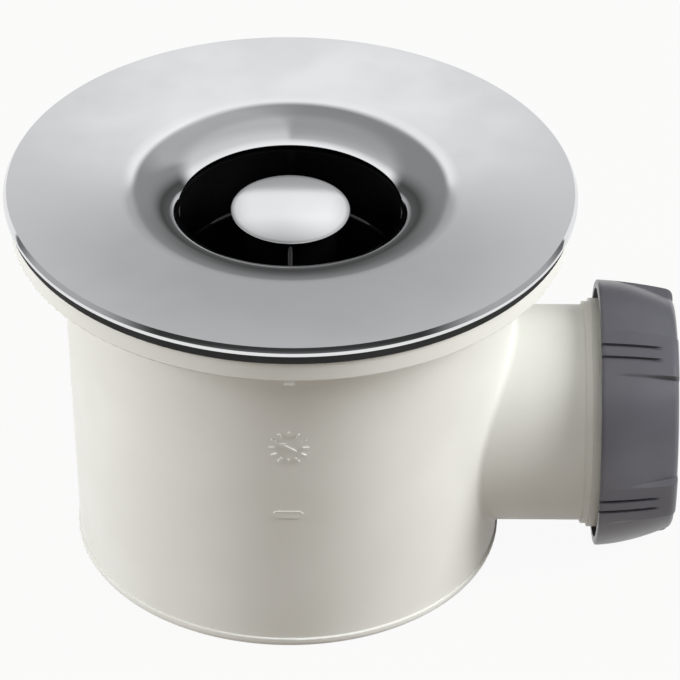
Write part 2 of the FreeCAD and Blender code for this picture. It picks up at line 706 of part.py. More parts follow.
# Cone seal, squeezed between the stub's cone and the thrust ring when the nut is done up.
seal = new_body("cone_seal")
nodes.append(seal)
sketch = new_sketch(seal, "seal_outline", shift=OUTLET)
outline(sketch, [
    corner(s.stub_end - s.seat_cone + 1.0, socket_radius + 0.15),
    corner(ring_start, socket_radius + 0.15),
    corner(ring_start, core_radius - 1.0, 0.4),
    corner(seal_start, core_radius - 1.0),
    corner(s.stub_end - s.seat_cone + 1.0, socket_radius + 0.6),
])
turned(seal, sketch, "Revolution", "seal_turned", axis="H_Axis")

# Thrust ring, which the nut pushes on to the seal without dragging it round.
ring = new_body("thrust_ring")
nodes.append(ring)
sketch = new_sketch(ring, "thrust_ring_outline", shift=OUTLET)
outline(sketch, [
    corner(ring_start, socket_radius + 0.3),
    corner(ring_end, socket_radius + 0.3),
    corner(ring_end, core_radius - 1.0),
    corner(ring_start, core_radius - 1.0),
])
turned(ring, sketch, "Revolution", "thrust_ring_turned", axis="H_Axis")

# Outlet nut: a tapered hollow nut with five lands, five scoops and twin grooves on each land.
nut = new_body("outlet_nut")
nodes.append(nut)


def nut_side(x):
    return s.nut_radius - (x - s.nut_start) * s.nut_taper


shoulder = nut_end - s.nut_chamfer
nut_sketch = new_sketch(nut, "nut_outline", shift=OUTLET)
outline(nut_sketch, [
    corner(s.nut_start, nut_side(s.nut_start), 0.4),
    corner(shoulder, nut_side(shoulder), 1.2),
    corner(nut_end, nut_side(shoulder) - 1.9, 0.8),
    corner(nut_end, socket_radius + 0.45),
    corner(nut_shoulder, socket_radius + 0.45),
    corner(nut_shoulder, chamber),
    corner(s.stub_end + 0.7, chamber),
    corner(s.stub_end + 0.7, nut_bore),
    corner(s.nut_start + 1.75, nut_bore),
    corner(s.nut_start + 1.05, nut_bore + 1.1),
    corner(s.nut_start, nut_bore + 1.1),
])
turned(nut, nut_sketch, "Revolution", "nut_turned", axis="H_Axis")
scoop_start = s.nut_start + s.nut_length * 0.26
half_land = as_size(180) * s.land_share
sketch = new_sketch(nut, "scoop_outline", shift=OUTLET, turn=s.land_turn - half_land)
outline(sketch, [
    corner(scoop_start, nut_side(scoop_start)),
    corner(shoulder, nut_side(shoulder) - s.scoop_depth, 1.2),
    corner(nut_end + 0.6, nut_side(shoulder) - s.scoop_depth - 2.5),
    corner(nut_end + 0.6, s.nut_radius + 2.0),
    corner(scoop_start, s.nut_radius + 2.0),
])
scoop = turned(nut, sketch, "Groove", "scoop", axis="H_Axis", angle=s.scoop_width)
grooves = []
for name, turn in (
    ("groove_one", s.land_turn - s.groove_spread),
    ("groove_two", s.land_turn + s.groove_spread),
):
    sketch = new_sketch(nut, name + "_outline", shift=OUTLET, turn=turn)
    far = s.nut_start + s.nut_length * 0.74
    outline(sketch, [
        corner(s.nut_start - 0.6, nut_side(s.nut_start) - s.groove_depth),
        corner(far, nut_side(far) - s.groove_depth),
        corner(far, s.nut_radius + 2.0),
        corner(s.nut_start - 0.6, s.nut_radius + 2.0),
    ])
    grooves.append(turned(nut, sketch, "Groove", name, axis="H_Axis", angle=s.groove_width))
repeated(nut, [scoop] + grooves, "grip", (nut_sketch, ["H_Axis"]), s.land_count)

doc.recompute()
faults = []
for thing in doc.Objects:
    if "Invalid" in thing.State or "Error" in thing.State:
        faults.append(thing.Label + ": " + " ".join(thing.State))
for node in nodes:
    if node.Shape.isNull() or not node.Shape.isValid():
        faults.append(node.Label + ": no valid shape")
if faults:
    raise RuntimeError("; ".join(faults))

os.makedirs("parts", exist_ok=True)
for node in nodes:
    node.Shape.exportStep("parts/" + node.Label + ".step")
    box = node.Shape.BoundBox
    print("%-14s solids %d  volume %9.1f  x %.2f..%.2f  y %.2f..%.2f  z %.2f..%.2f" % (
        node.Label, len(node.Shape.Solids), node.Shape.Volume,
        box.XMin, box.XMax, box.YMin, box.YMax, box.ZMin, box.ZMax))
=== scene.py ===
import json
import math

import bmesh
import bpy
from mathutils import Matrix, Vector


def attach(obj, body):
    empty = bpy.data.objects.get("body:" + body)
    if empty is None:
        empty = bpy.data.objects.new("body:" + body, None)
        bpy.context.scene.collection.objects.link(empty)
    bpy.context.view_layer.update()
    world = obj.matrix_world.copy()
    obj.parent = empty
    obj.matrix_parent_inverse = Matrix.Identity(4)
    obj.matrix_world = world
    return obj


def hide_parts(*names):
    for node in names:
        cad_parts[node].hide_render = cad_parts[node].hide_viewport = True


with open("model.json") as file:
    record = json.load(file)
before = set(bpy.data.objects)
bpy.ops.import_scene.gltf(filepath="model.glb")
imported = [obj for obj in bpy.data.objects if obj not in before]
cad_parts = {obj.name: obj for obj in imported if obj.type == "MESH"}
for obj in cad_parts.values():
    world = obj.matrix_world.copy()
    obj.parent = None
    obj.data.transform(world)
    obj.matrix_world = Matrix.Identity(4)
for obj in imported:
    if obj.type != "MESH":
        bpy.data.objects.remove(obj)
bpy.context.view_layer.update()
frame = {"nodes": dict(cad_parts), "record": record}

# Sizes are in metres, in the frame of the solids: base at z = 0, outlet along +X. Only the half sections and
# the nut are given in millimetres, and turned to metres where their meshes are made.
MM = 0.001
FULL_TURN = 2 * math.pi

# The outlet: its axis, and the round thread that the nut runs on.
OUTLET_HEIGHT = 28.1 * MM
THREAD_PITCH = 3.0 * MM
THREAD_ROUND = 0.7 * MM
THREAD_SIDES = 12
THREAD_STEPS_PER_TURN = 72
# At each end, over this share of its length, the thread's ridge grows from this share of its size.
THREAD_END_SHARE = 0.12
THREAD_END_SIZE = 0.05
STUB_THREAD_RADIUS = 23.5 * MM
STUB_THREAD_START = 65.2 * MM
STUB_THREAD_TURNS = 1.4
NUT_THREAD_RADIUS = 24.5 * MM
NUT_THREAD_START = STUB_THREAD_START + THREAD_PITCH / 2
NUT_THREAD_TURNS = 1.55

# The front wall of the body: height and radius at the foot and at the flange, which is a slight taper.
WALL_LOW = (2.3 * MM, 43.2 * MM)
WALL_HIGH = (76.8 * MM, 46.2 * MM)

# The date dial and the bare pad below it, raised on the front wall and sunk a little into it.
DIAL_HEIGHT = 51.0 * MM
DIAL_RADIUS = 3.35 * MM
DIAL_TICKS = 12
DIAL_RAISED = 0.35 * MM
TICK_LENGTH = 1.15 * MM
TICK_WIDTH = 0.42 * MM
ARROW_LENGTH = 3.4 * MM
ARROW_WIDTH = 0.5 * MM
ARROW_TURN = math.radians(58.0)
# The arrow's head: its radius as a share of the arrow's width, its place as a share of the length.
HEAD_RADIUS_SHARE = 1.5
HEAD_PLACE_SHARE = 0.45
MARK_HEIGHT = 34.2 * MM
MARK_SIZE = (6.0 * MM, 1.7 * MM)
MARK_RAISED = 0.6 * DIAL_RAISED
MARK_END_STEPS = 6
SUNK = 0.1 * MM

# Half sections of turned pieces in mm: radius, height and rounding of each corner.
COVER_SECTION = [
    (57.48, 81.1, 0.3), (57.48, 82.0, 0.2), (56.85, 82.96, 0), (31.7, 82.5, 25.0), (24.93, 81.42, 10.0),
    (22.4, 78.17, 0.15), (23.4, 77.37, 0.15), (25.96, 80.1, 6.0), (34.5, 81.7, 0), (56.3, 81.7, 0),
    (56.3, 81.1, 0.08)]
# The gasket's outer lip stands as a black wall in the gap between the cover's rim and the flange: partly
# real rubber, partly painted shade of that gap.
GASKET_AND_SHADE_LIP_SECTION = [
    (47.5, 79.57, 0), (54.3, 79.57, 0), (54.3, 79.47, 0), (56.15, 79.47, 0), (56.15, 78.95, 0.1),
    (56.65, 78.95, 0.2), (56.65, 81.05, 0.1), (55.9, 81.05, 0), (55.9, 79.63, 0), (54.1, 79.63, 0),
    (54.1, 80.64, 0), (47.5, 80.64, 0)]
BUTTON_TOP = 77.8
BUTTON_DOME = 0.29
BUTTON_FACE = 11.7
BUTTON_STEPS = 8
BUTTON_SECTION = [
    (0, 70.85, 0), (2.9, 70.85, 0.5), (2.9, 76.86, 0), (12.0, 76.86, 0.1), (12.0, 77.49, 0.2)] + [
    (BUTTON_FACE * step / BUTTON_STEPS, BUTTON_TOP - BUTTON_DOME * (step / BUTTON_STEPS) ** 2, 0)
    for step in range(BUTTON_STEPS - 1, -1, -1)]
# The button's face leans a little to the front: all of it that lies above this height.
BUTTON_LEAN = math.tan(math.radians(1.6))
BUTTON_LEAN_FROM = 77.1
# How fine a turned piece is: its longest run in mm, the widest bend of an arc, and its steps all round.
SECTION_RUN = 1.0
SECTION_BEND = math.radians(6.0)
ROUND_STEPS = 240
# Edges that bend by more than this stay crisp.
TURNED_CRISP = math.radians(25)
NUT_CRISP = math.radians(30)
MERGE_DISTANCE = 0.001 * MM

# The round upper edge of a strainer vane: its two ends and the middle of its bend.
VANE_HIGH = (11.5 * MM, 0.0, 76.05 * MM)
VANE_BEND = (17.98 * MM, 0.0, 71.69 * MM)
VANE_LOW = (22.2 * MM, 0.0, 66.35 * MM)
VANE_COUNT = 4
VANE_ROUND = 0.56 * MM
VANE_STEPS = 24
VANE_SIDES = 16

# The outlet nut in mm and degrees: a crowned side with a soft inner edge and a rounded outer one.
NUT_START = 62.85
NUT_SIDE_END = 77.3
NUT_RADIUS = 27.3
NUT_FALL = (0.05, 0.0052)
NUT_RUN = 0.5
NUT_EDGE = 0.4
NUT_EDGE_CUT = 0.12
NUT_ROUNDING = [(0.45, 0.16), (0.85, 0.42), (1.15, 0.78), (1.33, 1.2), (1.4, 1.65)]
NUT_HOLLOW = [
    (78.7, 20.6), (75.3, 20.6), (75.3, 22.9), (70.9, 22.9), (70.9, 24.5), (64.6, 24.5), (63.9, 25.6),
    (62.85, 25.6)]
# Five lands stand round it, with two grooves each. A scoop follows each land and deepens to the outer end.
LAND_COUNT = 5
LAND_FIRST = -9.8
LAND_HALF = 10.0
LAND_SIDE = 1.2
LAND_SIDE_STEPS = 4
LAND_CUTS = [0.0, 1.0, 6.0, 8.0]
SCOOP_START = 64.0
SCOOP_DEPTH = 1.7
SCOOP_GROWTH = 1.7
SCOOP_STEPS = 8
GROOVE_ASIDE = 3.0
GROOVE_HALF = 0.95
GROOVE_SIDE = 0.2
GROOVE_SIDE_CUTS = (-1, -0.5, 0, 0.5)
GROOVE_DEPTH = 0.75
GROOVE_FADE = (73.0, 75.4)

# Most of a noise's values lie between these two, so shades and gloss are spread from one to the other.
DRIFT_LOW = 0.35
DRIFT_HIGH = 0.65


def linear(hex_colour):
    """An sRGB hex colour as linear red, green, blue and alpha."""
    parts = [int(hex_colour[i:i + 2], 16) / 255 for i in (1, 3, 5)]
    return tuple(p / 12.92 if p <= 0.04045 else ((p + 0.055) / 1.055) ** 2.4 for p in parts) + (1.0,)


def add(tree, kind, settings=None, inputs=None):
    """Adds a node with its settings or stops, and sets or links its inputs. A list is several links."""
    made = tree.nodes.new(kind)
    for name, value in (settings or {}).items():
        if name == "stops":
            elements = made.color_ramp.elements
            elements.remove(elements[1])
            elements[0].position, elements[0].color = value[0]
            for place, colour in value[1:]:
                elements.new(place).color = colour
        else:
            setattr(made, name, value)
    for name, value in (inputs or {}).items():
        socket = made.inputs[name]
        for item in value if isinstance(value, list) else [value]:
            if isinstance(item, bpy.types.NodeSocket):
                tree.links.new(item, socket)
            else:
                socket.default_value = item
    return made


def finish_of(name, **sockets):
    """A material with one Principled shader whose sockets are set by name."""
    material = bpy.data.materials.new(name)
    material.use_nodes = True
    tree = material.node_tree
    shader = tree.nodes["Principled BSDF"]
    for socket, value in sockets.items():
        shader.inputs[socket].default_value = value
    return material, tree, shader


def drift(tree, spacing):
    """Noise from 0 to 1 that changes over a real spacing on the object."""
    place = add(tree, "ShaderNodeTexCoord")
    noise = add(tree, "ShaderNodeTexNoise", inputs={
        "Vector": place.outputs["Object"], "Scale": 1.0 / spacing, "Detail": 2.0, "Roughness": 0.5})
    return noise.outputs["Fac"]


def uneven(tree, shader, spacing, shades, gloss):
    """Lets the colour drift between two shades and the roughness between two values."""
    value = drift(tree, spacing)
    stops = [(DRIFT_LOW, linear(shades[0])), (DRIFT_HIGH, linear(shades[1]))]
    colour = add(tree, "ShaderNodeValToRGB", {"stops": stops}, {"Fac": value})
    rough = add(tree, "ShaderNodeMapRange", inputs={
        "Value": value, "From Min": DRIFT_LOW, "From Max": DRIFT_HIGH,
        "To Min": gloss[0], "To Max": gloss[1]})
    tree.links.new(colour.outputs["Color"], shader.inputs["Base Color"])
    tree.links.new(rough.outputs["Result"], shader.inputs["Roughness"])


def grain(tree, shader, spacing, depth, strength):
    """An even grain of a moulded face. The real one is too fine to show, so it is drawn coarser."""
    bump = add(tree, "ShaderNodeBump", inputs={
        "Strength": strength, "Distance": depth, "Height": drift(tree, spacing)})
    tree.links.new(bump.outputs["Normal"], shader.inputs["Normal"])


def polished_chrome():
    # Chrome plate on a polished base: a clear, slightly blue mirror with a breath of haze here and there.
    material, tree, shader = finish_of("polished_chrome_plate", Metallic=1.0)
    uneven(tree, shader, 14 * MM, ("#E7E8EA", "#E4E5E7"), (0.055, 0.075))
    return material


def cream_polypropylene():
    # Moulded polypropylene, warm white: a soft satin gloss over a faint mould grain, a little cloudy.
    material, tree, shader = finish_of("cream_moulded_polypropylene", IOR=1.49)
    uneven(tree, shader, 22 * MM, ("#E7E6E0", "#E3E2DB"), (0.38, 0.46))
    grain(tree, shader, 1.4 * MM, 0.02 * MM, 0.25)
    return material


def grey_polypropylene():
    # Moulded polypropylene, dark grey with a trace of violet: satin, with wide soft highlights.
    material, tree, shader = finish_of("grey_moulded_polypropylene", IOR=1.49)
    uneven(tree, shader, 12 * MM, ("#5C5B61", "#57565C"), (0.28, 0.35))
    grain(tree, shader, 1.2 * MM, 0.02 * MM, 0.3)
    return material


def black_gloss_plastic():
    # Moulded ABS from a polished mould, black: dark with sharp bright reflections.
    material, tree, shader = finish_of("black_gloss_abs", IOR=1.53)
    uneven(tree, shader, 9 * MM, ("#0A0A0A", "#0D0D0D"), (0.09, 0.14))
    return material


def black_rubber():
    # Moulded EPDM: matt black with a dull sheen.
    material, tree, shader = finish_of("black_epdm_rubber", IOR=1.5)
    uneven(tree, shader, 8 * MM, ("#0E0E0E", "#121211"), (0.65, 0.75))
    grain(tree, shader, 0.8 * MM, 0.02 * MM, 0.3)
    return material


def stainless_steel():
    # Cold-formed stainless screws: grey metal with a soft sheen.
    material, tree, shader = finish_of("stainless_steel", Metallic=1.0)
    uneven(tree, shader, 4 * MM, ("#C5C4C0", "#BEBDB9"), (0.26, 0.36))
    return material


def turned_brass():
    # Turned brass inserts: yellow metal with a soft sheen.
    material, tree, shader = finish_of("turned_brass", Metallic=1.0)
    uneven(tree, shader, 4 * MM, ("#DBB46C", "#D2AA60"), (0.24, 0.34))
    return material


FINISHES = {
    "chrome": polished_chrome(),
    "cream_plastic": cream_polypropylene(),
    "grey_plastic": grey_polypropylene(),
    "black_plastic": black_gloss_plastic(),
    "rubber": black_rubber(),
    "stainless": stainless_steel(),
    "brass": turned_brass(),
}

for subpart in frame["record"]["subparts"]:
    solid = frame["nodes"][subpart["node"]].data
    solid.materials.clear()
    solid.materials.append(FINISHES[subpart["material_slot"]])


SOCKET_KINDS = {int: "NodeSocketInt", float: "NodeSocketFloat", tuple: "NodeSocketVector"}


def new_tree(name, sizes):
    """A geometry tree with one named input for each size."""
    tree = bpy.data.node_groups.new(name, "GeometryNodeTree")
    tree.interface.new_socket("Geometry", in_out="OUTPUT", socket_type="NodeSocketGeometry")
    for size, value in sizes.items():
        tree.interface.new_socket(size, in_out="INPUT", socket_type=SOCKET_KINDS[type(value)])
    return tree, add(tree, "NodeGroupInput").outputs


def close_tree(tree, geometry, material):
    """Ends a geometry tree in plain geometry with a material."""
    plain = add(tree, "GeometryNodeRealizeInstances", inputs={"Geometry": geometry})
    painted = add(tree, "GeometryNodeSetMaterial", inputs={
        "Geometry": plain.outputs["Geometry"], "Material": material})
    add(tree, "NodeGroupOutput", inputs={"Geometry": painted.outputs["Geometry"]})
    return tree


def grown(name, tree, sizes):
    """The plain mesh that a geometry tree makes with these sizes."""
    seed = bpy.data.objects.new(name + "_seed", bpy.data.meshes.new(name + "_seed"))
    bpy.context.scene.collection.objects.link(seed)
    modifier = seed.modifiers.new("grow", "NODES")
    modifier.node_group = tree
    for item in tree.interface.items_tree:
        if item.in_out == "INPUT":
            modifier[item.identifier] = sizes[item.name]
    bpy.context.view_layer.update()
    graph = bpy.context.evaluated_depsgraph_get()
    mesh = bpy.data.meshes.new_from_object(seed.evaluated_get(graph))
    mesh.name = name
    bpy.data.objects.remove(seed)
    return mesh


def outward(mesh):
    """Merges doubles and turns every face outwards."""
    work = bmesh.new()
    work.from_mesh(mesh)
    bmesh.ops.remove_doubles(work, verts=work.verts, dist=MERGE_DISTANCE)
    bmesh.ops.recalc_face_normals(work, faces=work.faces)
    work.to_mesh(mesh)
    work.free()


def smooth(mesh, crisp=None):
    """Shades a mesh smooth, and leaves edges crisp that bend by more than an angle."""
    mesh.polygons.foreach_set("use_smooth", [True] * len(mesh.polygons))
    if crisp:
        mesh.set_sharp_from_angle(angle=crisp)


def placed(mesh, name, body, node=None):
    """Makes a mesh a piece that rides on a body, in the place of a CAD node if one is named."""
    piece = bpy.data.objects.new(name, mesh)
    bpy.context.scene.collection.objects.link(piece)
    if node:
        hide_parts(node)
    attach(piece, body)


def ring_mesh(name, rings):
    """A closed mesh through section lines that follow each other once round an axis."""
    count = len(rings[0])
    faces = []
    for step in range(len(rings)):
        here, there = step * count, (step + 1) % len(rings) * count
        for i in range(count):
            j = (i + 1) % count
            faces.append((here + i, there + i, there + j, here + j))
    mesh = bpy.data.meshes.new(name)
    mesh.from_pydata([corner for ring in rings for corner in ring], [], faces)
    outward(mesh)
    return mesh


def section_line(corners):
    """The closed line of a half section: its roundings as arcs, its straight sides in short runs."""
    arcs = []
    for i, (radius, height, rounding) in enumerate(corners):
        here = Vector((radius, height))
        before = (Vector(corners[i - 1][:2]) - here).normalized()
        after = (Vector(corners[(i + 1) % len(corners)][:2]) - here).normalized()
        turn = math.pi - before.angle(after)
        arc = [here]
        if rounding:
            reach = rounding * math.tan(turn / 2)
            middle = here + (before + after).normalized() * math.hypot(reach, rounding)
            first = here + before * reach - middle
            last = here + after * reach - middle
            steps = max(2, math.ceil(turn / SECTION_BEND), math.ceil(turn * rounding / SECTION_RUN))
            arc = [middle + first.slerp(last, step / steps).normalized() * rounding
                   for step in range(steps + 1)]
        arcs.append(arc)
    points = []
    for i, arc in enumerate(arcs):
        points.extend(arc)
        follow = arcs[(i + 1) % len(arcs)][0]
        runs = math.ceil((follow - arc[-1]).length / SECTION_RUN)
        points.extend(arc[-1].lerp(follow, run / runs) for run in range(1, runs))
    return points


def turned_piece(name, section, slot, node, lean=0.0, lean_from=0.0):
    """A smooth turned piece that stands for a CAD node, so that its reflections run without facets."""
    points = section_line(section)
    rings = []
    for step in range(ROUND_STEPS):
        angle = FULL_TURN * step / ROUND_STEPS
        rings.append([(p.x * MM * math.cos(angle), p.x * MM * math.sin(angle), p.y * MM) for p in points])
    mesh = ring_mesh(name, rings)
    for vertex in mesh.vertices:
        if vertex.co.z > lean_from * MM:
            vertex.co.z += vertex.co.y * lean
    smooth(mesh, TURNED_CRISP)
    mesh.materials.append(FINISHES[slot])
    placed(mesh, name, "drain", node)


turned_piece("turned_cover", COVER_SECTION, "chrome", "cover_plate")
# The upper gasket has a thin black lip under the cover's rim that draws a black line there: partly the
# gasket's own edge, partly painted shade standing in for the shadow in the gap between rim and flange.
turned_piece("gasket_with_painted_gap_shade", GASKET_AND_SHADE_LIP_SECTION, "rubber", "upper_gasket")
turned_piece("leaning_button", BUTTON_SECTION, "chrome", "button_cap", BUTTON_LEAN, BUTTON_LEAN_FROM)


def eased(value, low, high):
    """How far a value has come from low to high, from 0 to 1, with a soft start and end."""
    share = min(1.0, max(0.0, (value - low) / (high - low)))
    return share * share * (3 - 2 * share)


def nut_angles():
    """Angles from a land's middle to the next land's middle, close together at each edge."""
    groove = [GROOVE_ASIDE + side * (GROOVE_HALF + cut * GROOVE_SIDE)
              for side in (-1, 1) for cut in GROOVE_SIDE_CUTS]
    wall = [LAND_HALF + LAND_SIDE * step / LAND_SIDE_STEPS for step in range(-1, LAND_SIDE_STEPS + 2)]
    half = 180 / LAND_COUNT
    scoop = [wall[-1] + (half - wall[-1]) * step / SCOOP_STEPS for step in range(1, SCOOP_STEPS + 1)]
    first = sorted(LAND_CUTS + [GROOVE_ASIDE] + groove + wall + scoop)
    return first + [2 * half - angle for angle in reversed(first[1:-1])]


def nut_radius(x, aside):
    """The nut's radius at a place along it and an angle from the middle of the nearest land."""
    along = x - NUT_START
    side = NUT_RADIUS - NUT_FALL[0] * along - NUT_FALL[1] * along ** 2
    scoop_share = max(0.0, (x - SCOOP_START) / (NUT_SIDE_END - SCOOP_START))
    scoop = SCOOP_DEPTH * scoop_share ** SCOOP_GROWTH * eased(aside, LAND_HALF, LAND_HALF + LAND_SIDE)
    in_groove = 1 - eased(abs(aside - GROOVE_ASIDE), GROOVE_HALF - GROOVE_SIDE, GROOVE_HALF)
    groove = GROOVE_DEPTH * in_groove * (1 - eased(x, *GROOVE_FADE))
    return side - scoop - groove


def nut_section(aside):
    """The closed line of the nut's half section at an angle from a land's middle."""
    length = NUT_SIDE_END - NUT_START - NUT_EDGE
    steps = round(length / NUT_RUN)
    places = [NUT_START + NUT_EDGE + length * step / steps for step in range(steps + 1)]
    start, end = nut_radius(NUT_START, aside), nut_radius(NUT_SIDE_END, aside)
    line = [(NUT_START, start - NUT_EDGE), (NUT_START + NUT_EDGE_CUT, start - NUT_EDGE_CUT)]
    line += [(x, nut_radius(x, aside)) for x in places]
    line += [(NUT_SIDE_END + ahead, end - fall) for ahead, fall in NUT_ROUNDING]
    return line + NUT_HOLLOW


def crowned_nut():
    """The nut with its crowned side and soft scoops, which the solids keep plain."""
    rings = []
    for land in range(LAND_COUNT):
        for aside in nut_angles():
            angle = math.radians(LAND_FIRST + land * 360 / LAND_COUNT + aside)
            nearest = min(aside, 360 / LAND_COUNT - aside)
            rings.append([(x * MM, -r * MM * math.cos(angle), OUTLET_HEIGHT + r * MM * math.sin(angle))
                          for x, r in nut_section(nearest)])
    mesh = ring_mesh("crowned_nut", rings)
    smooth(mesh, NUT_CRISP)
    mesh.materials.append(FINISHES["grey_plastic"])
    placed(mesh, "crowned_nut", "nut", "outlet_nut")


crowned_nut()


def vane_edge_tree(sizes, material):
    """Round upper edges of the strainer's vanes: a bent rod from hub to ring, once for each vane."""
    tree, size = new_tree("vane_edges", sizes)
    arc = add(tree, "GeometryNodeCurveArc", {"mode": "POINTS"}, {
        "Resolution": size["Steps"], "Start": size["High"], "Middle": size["Bend"], "End": size["Low"]})
    section = add(tree, "GeometryNodeCurvePrimitiveCircle", inputs={
        "Resolution": size["Sides"], "Radius": size["Round"]})
    rod = add(tree, "GeometryNodeCurveToMesh", inputs={
        "Curve": arc.outputs["Curve"], "Profile Curve": section.outputs["Curve"], "Fill Caps": True})
    places = add(tree, "GeometryNodeMeshLine", inputs={"Count": size["Vanes"], "Offset": (0, 0, 0)})
    place = add(tree, "GeometryNodeInputIndex").outputs["Index"]
    share = add(tree, "ShaderNodeMath", {"operation": "DIVIDE"}, {
        0: place, 1: size["Vanes"]}).outputs["Value"]
    angle = add(tree, "ShaderNodeMath", {"operation": "MULTIPLY"}, {
        0: share, 1: FULL_TURN}).outputs["Value"]
    turn = add(tree, "ShaderNodeCombineXYZ", inputs={"Z": angle})
    vanes = add(tree, "GeometryNodeInstanceOnPoints", inputs={
        "Points": places.outputs["Mesh"], "Instance": rod.outputs["Mesh"],
        "Rotation": turn.outputs["Vector"]})
    return close_tree(tree, vanes.outputs["Instances"], material)


def vane_edges():
    sizes = {"Vanes": VANE_COUNT, "Round": VANE_ROUND, "High": VANE_HIGH, "Bend": VANE_BEND, "Low": VANE_LOW,
             "Steps": VANE_STEPS, "Sides": VANE_SIDES}
    mesh = grown("vane_edges", vane_edge_tree(sizes, FINISHES["black_plastic"]), sizes)
    outward(mesh)
    smooth(mesh)
    placed(mesh, "vane_edges", "drain")


vane_edges()


def thread_tree(sizes, material):
    """A round thread along +X: a ridge that winds right-handed and fades out at both ends."""
    tree, size = new_tree("round_thread", sizes)
    line = add(tree, "GeometryNodeCurvePrimitiveLine")
    steps = add(tree, "GeometryNodeResampleCurve", inputs={
        "Curve": line.outputs["Curve"], "Count": size["Steps"]})
    share = add(tree, "GeometryNodeSplineParameter").outputs["Factor"]
    turned = add(tree, "ShaderNodeMath", {"operation": "MULTIPLY"}, {
        0: share, 1: size["Turns"]}).outputs["Value"]
    angle = add(tree, "ShaderNodeMath", {"operation": "MULTIPLY"}, {
        0: turned, 1: FULL_TURN}).outputs["Value"]
    along = add(tree, "ShaderNodeMath", {"operation": "MULTIPLY_ADD"}, {
        0: turned, 1: size["Pitch"], 2: size["Start"]}).outputs["Value"]
    cosine = add(tree, "ShaderNodeMath", {"operation": "COSINE"}, {0: angle}).outputs["Value"]
    sine = add(tree, "ShaderNodeMath", {"operation": "SINE"}, {0: angle}).outputs["Value"]
    aside = add(tree, "ShaderNodeMath", {"operation": "MULTIPLY"}, {
        0: cosine, 1: size["Radius"]}).outputs["Value"]
    up = add(tree, "ShaderNodeMath", {"operation": "MULTIPLY_ADD"}, {
        0: sine, 1: size["Radius"], 2: size["Height"]}).outputs["Value"]
    place = add(tree, "ShaderNodeCombineXYZ", inputs={"X": along, "Y": aside, "Z": up})
    helix = add(tree, "GeometryNodeSetPosition", inputs={
        "Geometry": steps.outputs["Curve"], "Position": place.outputs["Vector"]})
    left = add(tree, "ShaderNodeMath", {"operation": "SUBTRACT"}, {0: 1.0, 1: share}).outputs["Value"]
    from_end = add(tree, "ShaderNodeMath", {"operation": "MINIMUM"}, {0: share, 1: left}).outputs["Value"]
    fade = add(tree, "ShaderNodeMapRange", {"interpolation_type": "SMOOTHSTEP"}, {
        "Value": from_end, "From Min": 0.0, "From Max": size["End share"], "To Min": size["End size"],
        "To Max": 1.0})
    section = add(tree, "GeometryNodeCurvePrimitiveCircle", inputs={
        "Resolution": size["Sides"], "Radius": size["Ridge"]})
    ridge = add(tree, "GeometryNodeCurveToMesh", inputs={
        "Curve": helix.outputs["Geometry"], "Profile Curve": section.outputs["Curve"],
        "Scale": fade.outputs["Result"], "Fill Caps": True})
    return close_tree(tree, ridge.outputs["Mesh"], material)


def thread(name, body, slot, radius, start, turns):
    sizes = {"Radius": radius, "Pitch": THREAD_PITCH, "Turns": turns, "Ridge": THREAD_ROUND, "Start": start,
             "Height": OUTLET_HEIGHT, "Steps": int(THREAD_STEPS_PER_TURN * turns), "Sides": THREAD_SIDES,
             "End share": THREAD_END_SHARE, "End size": THREAD_END_SIZE}
    mesh = grown(name, thread_tree(sizes, FINISHES[slot]), sizes)
    outward(mesh)
    smooth(mesh)
    placed(mesh, name, body)


thread("stub_thread", "drain", "cream_plastic", STUB_THREAD_RADIUS, STUB_THREAD_START, STUB_THREAD_TURNS)
thread("nut_thread", "nut", "grey_plastic", NUT_THREAD_RADIUS, NUT_THREAD_START, NUT_THREAD_TURNS)


def on_front_wall(mesh, height):
    """Lays a flat mesh, x along the wall, y up it and z out of it, round the front of the body."""
    rise = (WALL_HIGH[1] - WALL_LOW[1]) / (WALL_HIGH[0] - WALL_LOW[0])
    for vertex in mesh.vertices:
        across, up, out = vertex.co
        z = height + up
        radius = WALL_LOW[1] + (z - WALL_LOW[0]) * rise
        angle = across / radius
        reach = radius + out
        vertex.co = (reach * math.sin(angle), -reach * math.cos(angle), z)
    outward(mesh)


